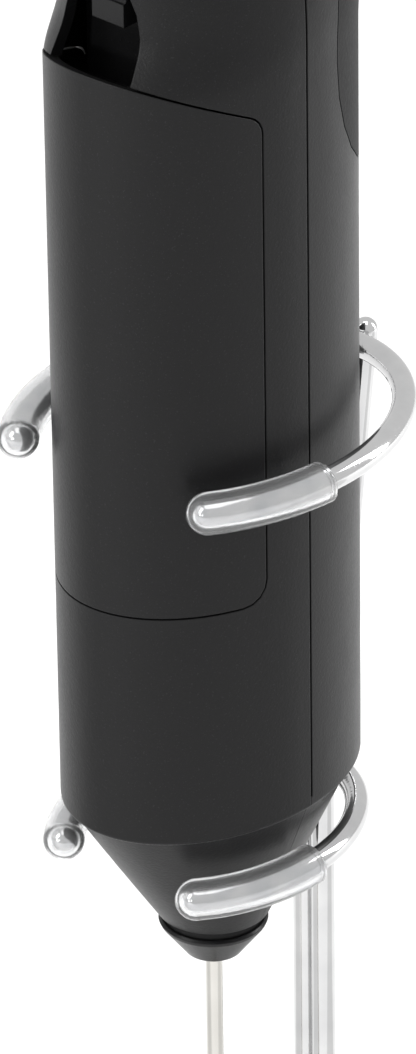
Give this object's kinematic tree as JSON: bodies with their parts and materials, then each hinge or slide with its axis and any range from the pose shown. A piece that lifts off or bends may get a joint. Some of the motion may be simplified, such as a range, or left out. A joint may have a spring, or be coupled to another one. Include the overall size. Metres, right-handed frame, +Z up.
{
  "type": "milk frother",
  "caption": "Battery milk frother with an oval handle, conical nose, thin whisk and slide switch, standing in a bent chrome wire stand with clear sleeved arms.",
  "frame": {"origin": "on the table, straight below the whisk's axis, at the centre of the stand's footprint", "axes": "+Z up along the whisk, -Y the front with battery door and switch, +Y the back with the wire posts, +X the side"},
  "size_m": [0.081, 0.0802, 0.265],
  "materials": {
    "shell_plastic": "fine matte texture, dark charcoal",
    "grip_rubber": "soft matte black",
    "dark_plastic": "satin black",
    "chrome_wire": "bright plating on round wire",
    "clear_vinyl": "clear soft vinyl, slightly cloudy",
    "steel": "bright drawn stainless steel",
    "brass": "plain turned",
    "plated_contact": "nickel-plated sheet",
    "cell_jacket": "smooth printed film over steel, unprinted here"
  },
  "bodies": {
    "stand": {"base_loop": "chrome_wire", "tall_post": "chrome_wire", "short_post": "chrome_wire", "upper_ring": "chrome_wire", "lower_ring": "chrome_wire", "upper_right_sleeve": "clear_vinyl", "upper_left_sleeve": "clear_vinyl", "lower_right_sleeve": "clear_vinyl", "lower_left_sleeve": "clear_vinyl", "foot_1": "clear_vinyl", "foot_2": "clear_vinyl", "foot_3": "clear_vinyl", "foot_4": "clear_vinyl"},
    "handle": {"front_shell": "shell_plastic", "rear_shell": "shell_plastic", "rear_grip_pad": "grip_rubber", "nose_seal": "grip_rubber", "nose_tip": "dark_plastic", "nose_bush": "brass", "bush_carrier": "dark_plastic", "motor_can": "steel", "motor_cap": "dark_plastic", "motor_mount": "dark_plastic", "front_cell": "cell_jacket", "rear_cell": "cell_jacket", "battery_tray": "dark_plastic", "bridge_plate": "plated_contact", "front_spring": "plated_contact", "rear_spring": "plated_contact", "front_contact": "plated_contact", "rear_contact": "plated_contact", "switch_well": "dark_plastic", "switch_body": "dark_plastic", "left_strip": "plated_contact", "right_strip": "plated_contact"},
    "door": {"battery_door": "shell_plastic"},
    "slide": {"switch_slider": "dark_plastic"},
    "whisk": {"motor_rotor": "steel", "shaft_coupling": "brass", "whisk_shaft": "steel", "whisk_ring": "steel", "whisk_spring": "steel"}
  },
  "joints": [
    {"name": "frother_lift", "type": "slide", "parent": "stand", "child": "handle", "axis": [0, 0, 1], "range_m": [0, 0.15]},
    {"name": "door_tip", "type": "hinge", "parent": "handle", "child": "door", "pos_m": [0, -0.0207, 0.1624], "axis": [1, 0, 0], "range_deg": [0, 8]},
    {"name": "switch_slide", "type": "slide", "parent": "handle", "child": "slide", "axis": [0, 0, 1], "range_m": [0, 0.003]},
    {"name": "whisk_spin", "type": "hinge", "parent": "handle", "child": "whisk", "pos_m": [0, 0, 0.131], "axis": [0, 0, 1], "continuous": true}
  ]
}
